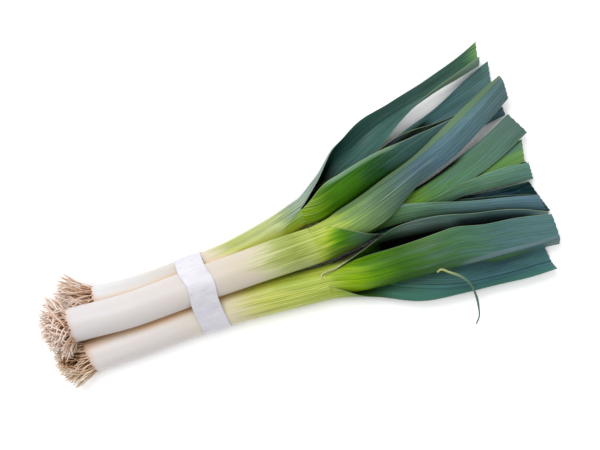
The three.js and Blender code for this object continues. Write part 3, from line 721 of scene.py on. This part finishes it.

# --------------------------------------
# The middle leek's leaves, from the outermost to the bright heart. The top leaf crosses the back
# leek, and the outermost one turns under the long one.
# --------------------------------------
# The olive stripe beside its keel from the mouth to X 66 is painted shade on the shaft's lower side near the
# crevice, and its inner face is painted dark.
blade("middle_leaf_outer", (222, -0.3), sheath("middle", 0, -90, 150, 155), {
    "y": [-14.5, -9.3, -16, -22, -26, -30],
    "z": [24, 8, 4.5, 3, 3, 3],
    "lw": [30, 28, 20, 17, 17, 17], "ls": [-80, -20, -5, 0, 5, 5], "le": [30, 25, 10, 20, 25, 25],
    "rw": [25.5, 8, 10, 12, 13, 14], "rs": [92, 70, 15, 12, 12, 12], "re": [168, 60, 15, 12, 12, 12],
}, leaf_finish("middle_leaf_outer", [
    (20, (178, 193, 92)), (25, (158, 182, 30)), (29, (118, 160, 2)), (34, (86, 138, 2)),
    (40, (66, 110, 24)), (54, (68, 102, 74)), (70, (80, 108, 88)), (100, SLATE), (220, SLATE)],
    [(20, GREEN), (60, DEEP_SHADE), (110, (18, 38, 44)), (220, (26, 50, 58))], 4.0, slant=8,
    stripes=[((84, 100, 36), -0.2, 0.3, 22, 66, 0.6, 0)]),
    104)

blade("middle_leaf_top", (223, 0), sheath("middle", 0.7, 125, 150, 70), {
    "y": [15, 24, 34.5, 45.5, 62, 81.5],
    "z": [38, 38, 36, 33.5, 30.5, 27],
    "lw": [28, 27, 19, 18, 18, 18], "ls": [165, 190, 195, 200, 205, 205],
    "le": [245, 225, 230, 222, 220, 218],
    "rw": [14, 15, 15, 15, 15, 15], "rs": [-125, -125, -125, -145, -140, -115],
    "re": [-115, -118, -118, -140, -135, -108],
}, leaf_finish("middle_leaf_top", [
    (18, (178, 193, 92)), (30, (182, 198, 92)), (42, (166, 190, 84)), (54, (136, 170, 94)),
    (72, (120, 153, 104)), (98, (96, 126, 106)), (130, (88, 116, 130)), (180, (98, 132, 140)),
    (222, (90, 118, 118))],
    [(20, GREEN), (60, DEEP_SHADE), (220, (30, 56, 56))], 4.0, slant=-8,
    stripes=[((206, 222, 112), -0.8, 0.75, 16, 52, 0.7, 0),
             ((112, 140, 96), -1.0, 0.66, 44, 230, 0.8, 0),
             ((168, 190, 180), 0.25, 0.02, 80, 150, 0.6, 0)], edge=0.8),
    105)

blade("middle_leaf_long", (222, -0.18), sheath("middle", 2, -70, 80, 150), {
    "y": [-8.3, -7, -12, -21.5, -31, -43],
    "z": [20, 14, 12.5, 10.5, 10, 9.5],
    "lw": [12, 14, 15, 14, 14, 14], "ls": [-60, -40, -40, -25, -20, -20], "le": [0, 5, 5, 15, 15, 10],
    "rw": [20, 20, 17, 15, 15, 16], "rs": [85, 130, 120, 120, 125, 135],
    "re": [175, 165, 165, 160, 160, 165],
}, leaf_finish("middle_leaf_long", [
    (20, LIME), (60, GREEN), (84, (88, 126, 64)), (112, (106, 146, 112)), (150, (94, 128, 122)),
    (185, (96, 132, 142)), (220, (96, 130, 142))],
    [(20, GREEN), (60, DEEP_SHADE), (220, (30, 52, 54))], 4.0, edge=0.35),
    106)

blade("middle_leaf_low", (221, 0), sheath("middle", 3, -100, 60, 130), {
    "y": [-6, -3.2, -6, -4.5, -8, -12],
    "z": [21, 16, 14, 12.5, 9.5, 8],
    "lw": [8, 9, 12, 12, 16, 16], "ls": [-60, -45, -45, -45, -20, -15], "le": [0, -10, 0, -10, -5, 0],
    "rw": [12, 12, 10, 13, 18, 16.5], "rs": [90, 135, 135, 135, 130, 135],
    "re": [170, 165, 160, 160, 165, 165],
}, leaf_finish("middle_leaf_low", [
    (20, LIME), (90, (96, 142, 40)), (112, (90, 136, 64)), (145, (86, 124, 90)),
    (180, (106, 148, 118)), (222, (102, 146, 130))],
    [(20, LIME), (80, GREEN), (220, TEAL)], 7.0),
    107)

# The near-black stripe along its keel from X 98 to 172 is painted shadow under the top leaf's lower edge.
blade("middle_leaf_wide", (219, -0.4), sheath("middle", 4, 90, 110, 80), {
    "y": [9, 13, 17, 26.5, 38.5, 55],
    "z": [24, 16, 15, 14, 13, 12],
    "lw": [10, 10, 15, 22, 24.5, 26], "ls": [140, 155, 160, 165, 165, 165],
    "le": [180, 185, 185, 180, 180, 180],
    "rw": [8, 8, 11, 18, 20.5, 22], "rs": [-60, -45, -35, -30, -30, -30], "re": [0, -5, -10, -5, -5, -5],
}, leaf_finish("middle_leaf_wide", [
    (20, LIME), (96, (140, 176, 20)), (114, (112, 156, 36)), (134, (88, 136, 72)),
    (160, (84, 128, 92)), (196, (86, 122, 104)), (222, (84, 114, 102))],
    [(20, LIME), (120, FRESH), (220, GREEN)], 8.0,
    stripes=[((3, 10, 2), -0.02, 0.22, 98, 172, 0.95, 0)]),
    108)

blade("middle_leaf_heart", (223, 0.25), sheath("middle", 5, 90, 40, 40), {
    "y": [5, 8, 10, 16, 21, 25],
    "z": [23, 15.5, 14.4, 12.5, 11.5, 10.5],
    "lw": [4, 4, 6, 12, 17, 19], "ls": [165, 170, 170, 165, 165, 165], "le": [185, 180, 185, 178, 178, 178],
    "rw": [4, 4, 5, 10, 14, 16], "rs": [-20, -20, -20, -15, -15, -15], "re": [0, 0, -5, 0, 0, 0],
}, leaf_finish("middle_leaf_heart", [
    (20, LIME), (140, (112, 160, 48)), (190, (98, 146, 72)), (222, (108, 150, 84))],
    [(20, LIME), (140, FRESH), (220, FRESH)], 9.0, bloom=0.08,
    stripes=[((84, 124, 116), 0.1, 0.4, 170, 230, 0.75, 0)]),
    109)

# --------------------------------------
# The front leek's leaves: the low outer leaf on the table, the dark leaf that cups the ridged one, and
# the large ridged leaf, from whose lower edge a thin strip has torn and curls down to the table.
# --------------------------------------
blade("front_leaf_low", (212, -0.1), sheath("front", 0, -10, 40, 150), {
    "y": [-46, -62, -75, -81, -84, -86],
    "z": [2, 2.5, 2.5, 2.5, 2.5, 2.5],
    "lw": [12, 15, 20, 19, 19, 18], "ls": [0, 0, 0, 3, 5, 5], "le": [10, 12, 12, 15, 20, 20],
    "rw": [24, 22, 19, 18, 18, 18], "rs": [5, 20, 45, 60, 60, 62], "re": [90, 65, 80, 76, 74, 76],
}, leaf_finish("front_leaf_low", [
    (20, (174, 192, 72)), (32, (150, 176, 60)), (46, (104, 136, 72)), (62, (112, 134, 122)),
    (100, (92, 124, 116)), (220, (76, 112, 108))],
    [(20, FRESH), (50, (66, 104, 50)), (74, (82, 132, 108)), (104, (78, 124, 116)),
     (160, (74, 116, 122)), (220, (92, 138, 142))],
    10.0, stripes=[((84, 136, 122), -0.75, 0.4, 60, 230, 0.6, 1), (SHADE, 0.0, 0.05, 90, 230, 0.5, 1)]),
    110)

# Painted shade: its outer face is dark grey-brown from X 38 to 60 in the gap between the middle and front
# leeks, and its inner face is near black below its margins, down in the channel where the ridged leaf lies,
# with a dark band further out. The grey-blue of its inner face near the margins is partly painted sheen.
blade("front_leaf_cup", (223, 0), sheath("front", 1, 40, 115, 60), {
    "y": [-26, -30, -37, -43, -50, -59],
    "z": [6, 5, 4, 4, 3.5, 3.5],
    "lw": [27, 31, 33, 28, 23.5, 16], "ls": [25, 32, 25, 25, 22, 22], "le": [125, 64, 55, 50, 46, 44],
    "rw": [12, 12, 13, 13, 10, 7], "rs": [-10, 0, 0, 0, 0, 0], "re": [10, 5, 8, 8, 5, 5],
}, leaf_finish("front_leaf_cup", [
    (20, (174, 192, 72)), (30, (150, 170, 60)), (38, (76, 74, 56)), (60, (52, 56, 48)),
    (110, TEAL), (220, TEAL)],
    [(18, (190, 206, 80)), (36, (176, 204, 40)), (50, (130, 180, 26)), (62, (60, 104, 30)),
     (84, (84, 116, 92)), (104, (120, 146, 132)), (140, (112, 144, 134)), (170, (72, 102, 102)),
     (205, (100, 130, 134)), (222, (150, 176, 166))],
    10.0, stripes=[((1, 5, 2), 0.0, 0.84, 62, 230, 1.0, 1),
                      ((10, 26, 30), 0.4, 0.55, 136, 216, 0.75, 1)], edge=0.6),
    111, dip=0.4)

blade("front_leaf_ridged", (223, 0.07), sheath("front", 1, -100, 72, 108), {
    "y": [-53, -57, -60.5, -62.5, -65.5, -67.5],
    "z": [15, 13, 14, 26, 26, 25],
    "lw": [14, 14, 13, 14, 15, 15], "ls": [-60, -40, -45, -115, -115, -120],
    "le": [0, 0, -10, -100, -100, -108],
    "rw": [40, 40, 41, 31, 28, 22], "rs": [90, 100, 110, 170, 178, 185],
    "re": [235, 220, 210, 205, 205, 215],
}, leaf_finish("front_leaf_ridged", [
    (20, (174, 192, 72)), (30, (144, 176, 30)), (44, (132, 172, 10)), (60, (88, 136, 8)),
    (86, (62, 108, 30)), (112, (74, 114, 54)), (140, (78, 120, 84)), (172, (72, 112, 104)),
    (200, (86, 122, 122))],
    [(20, FRESH), (60, GREEN), (220, DEEP_SHADE)], 10.0,
    stripes=[((112, 130, 140), -0.05, 0.10, 130, 230, 0.6, 0),
             ((86, 128, 60), 0.5, 0.5, 100, 200, 0.6, 0)]),
    112, fold=100)


def ribbon(route, rows, sides, flat, wide):
    """An oval section carried along a smooth line, `flat` times as thick as it is wide. `wide` gives its
    half width at t from 0 to 1. Returns points, and the turn round the section."""
    t = np.linspace(0, 1, rows)
    path = along_line(route, t)
    step = np.gradient(path, axis=0)
    step /= np.linalg.norm(step, axis=1, keepdims=True)
    side = np.cross(step, (0, 0, 1.0))
    side /= np.linalg.norm(side, axis=1, keepdims=True)
    over = np.cross(side, step)
    turn = np.linspace(0, 2 * np.pi, sides, endpoint=False)
    ring = side[:, None] * np.cos(turn)[:, None] + flat * over[:, None] * np.sin(turn)[:, None]
    points = path[:, None] + wide(t)[:, None, None] * ring
    return points.reshape(-1, 3), turn[None] + 0 * t[:, None]


rows, sides = 90, 12
points, turn = ribbon(
    [(112, -58.5, 27.6), (116, -57.5, 28), (122, -62, 27), (131, -69.5, 26.5), (136, -79, 25.5),
     (137.5, -90, 20), (137, -100, 12), (135, -109, 5), (130.5, -114.6, 1.6)], rows, sides, 0.5,
    lambda t: 1.15 * (1 - 0.6 * t ** 3) * (1 + 0.12 * np.sin(t * 21)) * (0.6 + 0.4 * smooth(0, 0.25, t)))
finish = leaf_finish("torn_strip", [
    (20, LIME), (122, (186, 190, 130)), (128, (150, 168, 120)), (136, (92, 124, 108)), (220, TEAL)],
    [(20, LIME), (220, SLATE)], 13.0, bloom=0.0)
piece = sides_of("torn_strip", points, ring_quads(rows, sides),
                 {"share": 0 * turn + 0.3, "arc": np.cos(turn), "face": 0 * turn}, finish,
                 end_caps(rows, sides))
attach(piece, "root")


def dry_finish(name, stops):
    """Dead leaf tissue: dull, and mottled by a fine noise between the given colours."""
    made, tree, shader = material(name + "_skin")
    spots = speckle(tree, 500.0, 3.0)
    feed(spots.colours(stops), shader, "Base Color")
    feed(tree.node("Bump", None, {"Height": spots, "Distance": 0.0001}), shader, "Normal")
    shader.inputs["Roughness"].default_value = 0.7
    return made


# The torn start of the cupping leaf's margin, dried to a pale thread that hooks over at its end.
rows, sides = 60, 10
points, turn = ribbon(
    [(17.6, -30.2, 32.2), (16.6, -27.6, 32.6), (18.2, -25.6, 32.2), (23, -25.2, 31.4), (31, -25.0, 30.6),
     (42, -22.4, 29.8)], rows, sides, 0.7,
    lambda t: 0.5 * (0.25 + 0.75 * np.sin(np.pi * (0.08 + 0.86 * t)) ** 0.8) * (1 + 0.2 * np.sin(t * 31)))
finish = dry_finish("dry_rim", [(0.3, (150, 132, 84)), (0.5, (206, 198, 152)),
                                     (0.7, (226, 222, 190))])
piece = sides_of("dry_rim", points, ring_quads(rows, sides), {}, finish, end_caps(rows, sides))
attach(piece, "root")

# A dark shred in the seam between the top leaf and the folded one: its browns are those of a dried old outer
# leaf, and its near-black greens are painted shade in the seam.
rows, sides = 50, 16
points, turn = ribbon(
    [(14, 16.2, 23), (22, 16.3, 22.4), (32, 16.9, 21.8), (42, 18, 20.6), (52, 18.8, 19)], rows, sides, 0.14,
    lambda t: 1.5 * np.sin(np.pi * (0.06 + 0.88 * t)) ** 0.5 * (1 + 0.12 * np.sin(t * 37)))
finish = dry_finish("seam_shade_shred", [(0.3, (20, 34, 8)), (0.5, (46, 64, 16)), (0.62, (84, 76, 34)),
                                       (0.72, (150, 128, 84))])
piece = sides_of("seam_shade_shred", points, ring_quads(rows, sides), {}, finish, end_caps(rows, sides))
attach(piece, "root")

# --------------------------------------
# The tape: a band of white plastic tape wound tight round all three shafts, straight between them,
# with soft creases all round.
# --------------------------------------
TAPE = {"x": -86, "width": 24, "thickness": 0.5, "slack": 0.42, "skew": 3.6, "bow": 4.0}


def band_points(rows, sides):
    """Rings round the bunch, one for each place across the band. For each direction the shaft that reaches
    furthest carries the tape, and the tape runs straight on to the next shaft. Its lower run is flat on the
    table."""
    across = np.linspace(-0.5, 0.5, rows)
    x = TAPE["x"] + TAPE["width"] * across
    directions = 4000
    turn = 2 * np.pi * (np.arange(directions) + 0.5) / directions
    rings = []
    for at in x:
        sections = [section_at(shaft, at) for shaft in SHAFTS.values()]
        reach = np.array([y * np.cos(turn) + z * np.sin(turn) + r for y, z, r in sections])
        y, z, r = (np.array(v)[reach.argmax(0)] for v in zip(*sections))
        r = r + TAPE["slack"]
        ring = np.stack([y + r * np.cos(turn), z + r * np.sin(turn)], axis=1)
        closed = np.vstack([ring, ring[:1]])
        run = np.concatenate([[0], np.cumsum(np.linalg.norm(np.diff(closed, axis=0), axis=1))])
        at_run = np.linspace(0, run[-1], sides, endpoint=False)
        rings.append(np.stack([np.interp(at_run, run, closed[:, k]) for k in (0, 1)], axis=1))
    rings = np.array(rings)
    out = np.roll(rings, -1, axis=1) - np.roll(rings, 1, axis=1)
    out = np.stack([out[..., 1], -out[..., 0]], axis=-1)
    out /= np.linalg.norm(out, axis=-1, keepdims=True)
    return x[:, None] + 0 * rings[..., 0], rings, out, across[:, None] + 0 * rings[..., 0]


def tape_band(rows=26, sides=420):
    """The band's two skins, joined at its edges, with creases that run across it at a slant. It leans by
    `skew` degrees and bows along X by a bell curve over the middle leek."""
    x, rings, out, across = band_points(rows, sides)
    run = np.linspace(0, 1, sides, endpoint=False)[None] + 0 * across
    crease = 0.12 * np.sin(run * 2 * np.pi * 23 + across * 5) * np.sin(run * 2 * np.pi * 7 + 1.1)
    crease += 0.05 * np.sin(run * 2 * np.pi * 61 - across * 9 + 2 * np.sin(run * 40))
    skins = []
    for depth in (0.0, TAPE["thickness"]):
        at = rings + out * (depth + 0.6 * crease + 0.05)[..., None]
        z = np.maximum(at[..., 1], TAPE["thickness"] - depth)
        bow = TAPE["bow"] * np.exp(-((at[..., 0] - 2) / 13) ** 2)
        skew = at[..., 0] * math.tan(math.radians(TAPE["skew"]))
        skins.append(np.stack([x - skew + bow, at[..., 0], z], axis=-1))
    inner, outer = skins
    shell = np.concatenate([outer, inner[::-1], outer[:1]])
    quads = ring_quads(len(shell), sides)
    last = (len(shell) - 1) * sides
    quads = np.where(quads >= last, quads - last, quads)
    values = {"run": np.concatenate([run, run[::-1]]), "across": np.concatenate([across, across[::-1]])}
    return shell[:-1].reshape(-1, 3), quads[:, ::-1], values


def tape_finish(name):
    """Satin white plastic with a faint lavender cast, cloudy all over."""
    made, tree, shader = material(name)
    run, across = (attribute(tree, key) for key in ("run", "across"))
    cloud = streaks(tree, run * 26, across * 1.6, 4.0, 3.0)
    fine = streaks(tree, run * 210, across * 7, 8.0, 3.0)
    stops = [(0.3, (218, 213, 226)), (0.5, (232, 230, 238)), (0.72, (242, 242, 246))]
    feed((cloud * 0.75 + fine * 0.25).colours(stops), shader, "Base Color")
    feed(cloud * 0.2 + 0.34, shader, "Roughness")
    relief = fine + cloud
    feed(tree.node("Bump", None, {"Height": relief, "Distance": 0.0002, "Strength": 0.6}), shader, "Normal")
    shader.inputs["Specular IOR Level"].default_value = 0.25
    return made


points, quads, values = tape_band()
piece = sides_of("tape_band", points, quads, values, tape_finish("tape_skin"))
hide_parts("tape")
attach(piece, "root")

# --------------------------------------
# The table, the light and the camera: a white sweep under soft light from the upper left, seen from
# straight above with the bunch running up to the right.
# --------------------------------------
floor_mesh = bpy.data.meshes.new("table")
half_side, below = 4.0, -0.0002
corners = [(-half_side, -half_side), (half_side, -half_side), (half_side, half_side), (-half_side, half_side)]
floor_mesh.from_pydata([(x, y, below) for x, y in corners], [], [(0, 1, 2, 3)])
floor = bpy.data.objects.new("table", floor_mesh)
bpy.context.scene.collection.objects.link(floor)
floor_skin, floor_tree, floor_shader = material("table_top")
floor_shader.inputs["Base Color"].default_value = (0.84, 0.84, 0.845, 1)
floor_shader.inputs["Roughness"].default_value = 0.9
floor_shader.inputs["Specular IOR Level"].default_value = 0.1
# Painted light: the table glows where it lies open, by an emission that follows ambient occlusion, and not
# close round the bunch or in narrow gaps, so those read as shadows.
near, wide = (floor_tree.node("AmbientOcclusion", {"samples": 8}, {"Distance": reach}, out=1)
              for reach in (0.015, 0.04))
feed(near.ramp(0.56, 0.72) * wide.ramp(0.25, 0.5), floor_shader, "Emission Color")
floor_shader.inputs["Emission Strength"].default_value = 0.4
floor_mesh.materials.append(floor_skin)

lamp = bpy.data.lights.new("key_light", "AREA")
lamp.shape, lamp.size, lamp.energy = "SQUARE", 1.0, 26
key_light = bpy.data.objects.new("key_light", lamp)
bpy.context.scene.collection.objects.link(key_light)
key_light.location = (-0.20, 0.92, 1.75)
key_light.rotation_mode = "QUATERNION"
key_light.rotation_quaternion = key_light.location.to_track_quat("Z", "Y")

world = bpy.data.worlds.new("studio")
world.use_nodes = True
world.node_tree.nodes["Background"].inputs["Color"].default_value = (1.0, 1.0, 1.0, 1)
world.node_tree.nodes["Background"].inputs["Strength"].default_value = 0.64
bpy.context.scene.world = world
bpy.context.scene.view_settings.view_transform = "Standard"

camera_data = bpy.data.cameras.new("camera")
camera_data.sensor_width = 36
camera_data.lens = 96.55
camera = bpy.data.objects.new("camera", camera_data)
camera.location = (0.0145, 0.0205, 1.42)
camera.rotation_euler = (0, 0, math.radians(-20))
bpy.context.scene.collection.objects.link(camera)
bpy.context.scene.camera = camera
